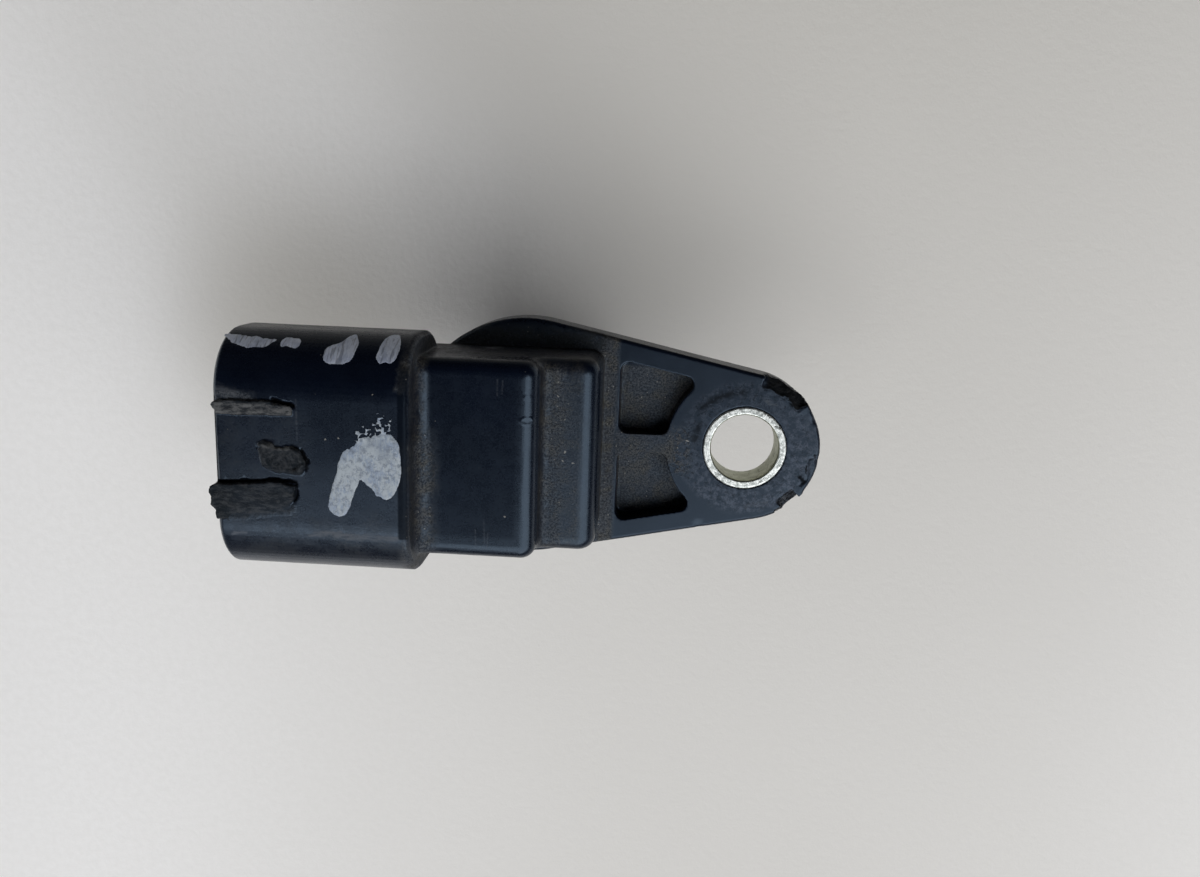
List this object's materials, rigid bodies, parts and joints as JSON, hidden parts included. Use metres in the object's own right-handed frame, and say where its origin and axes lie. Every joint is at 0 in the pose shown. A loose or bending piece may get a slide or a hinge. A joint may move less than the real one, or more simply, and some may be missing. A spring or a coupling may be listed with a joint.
{
  "type": "camshaft position sensor",
  "caption": "Hall-effect camshaft position sensor: moulded plug socket and stepped body on a flange with a steel-sleeved bolt ear and a round sealed probe.",
  "frame": {"origin": "where the probe's axis crosses the flange's underside, the seat on the engine", "axes": "+Z along the probe's axis away from the engine, and along the bolt hole towards the screw's head; +X from the probe to the bolt ear; the plug socket opens to -X"},
  "size_m": [0.058, 0.025, 0.0414],
  "materials": {
    "black_plastic": "black glass-filled moulding, slightly glossy, scuffed and dusty",
    "zinc_plated_steel": "zinc plated, turned rim, greenish-yellow passivation in the bore",
    "seal_rubber": "smooth black rubber",
    "tinned_brass": "tinned, dull bright",
    "holder_plastic": "dark moulding",
    "board_laminate": "green laminate",
    "chip_resin": "moulded resin",
    "bare_steel": "ground",
    "magnet_metal": "nickel-plated sintered magnet",
    "capacitor_ceramic": "ceramic with tinned ends"
  },
  "bodies": {
    "root": {"housing": "black_plastic", "bolt_sleeve": "zinc_plated_steel", "seal_ring": "seal_rubber", "terminal_supply": "tinned_brass", "terminal_signal": "tinned_brass", "terminal_ground": "tinned_brass", "inner_holder": "holder_plastic", "circuit_board": "board_laminate", "hall_chip": "chip_resin", "chip_lead_supply": "tinned_brass", "chip_lead_signal": "tinned_brass", "chip_lead_ground": "tinned_brass", "pole_piece": "bare_steel", "bias_magnet": "magnet_metal", "supply_capacitor": "capacitor_ceramic", "signal_capacitor": "capacitor_ceramic", "series_resistor": "chip_resin", "pull_up_resistor": "chip_resin"}
  },
  "joints": []
}
